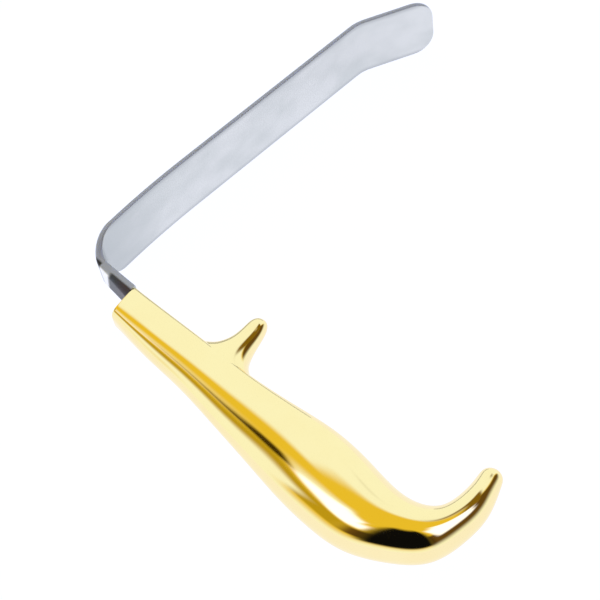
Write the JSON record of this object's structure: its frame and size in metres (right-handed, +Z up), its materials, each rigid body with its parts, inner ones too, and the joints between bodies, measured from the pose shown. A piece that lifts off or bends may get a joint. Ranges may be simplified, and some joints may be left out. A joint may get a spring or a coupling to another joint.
{
  "type": "multi-purpose surgical retractor",
  "caption": "Hand-held surgical retractor: a satin steel strip blade bent at a knee, on a polished, plated, hollow handle with a finger stop and a hooked butt.",
  "frame": {"origin": "middle of the bounding box, at the bottom: the instrument lies on its side", "axes": "+X from the knee along the blade to its tip, +Y from the handle's butt up to the blade, +Z up across the blade's width"},
  "size_m": [0.1814, 0.1678, 0.025],
  "materials": {
    "satin_steel": "satin",
    "gold_plate": "mirror-polished gold plating",
    "braze": "as brazed",
    "inner_steel": "machined"
  },
  "bodies": {
    "root": {"blade": "satin_steel", "handle_half_near": "gold_plate", "handle_half_far": "gold_plate", "seam_weld": "gold_plate", "finger_stop": "gold_plate", "tang_block": "inner_steel", "tang_pins": "inner_steel", "mouth_braze": "braze"}
  },
  "joints": []
}
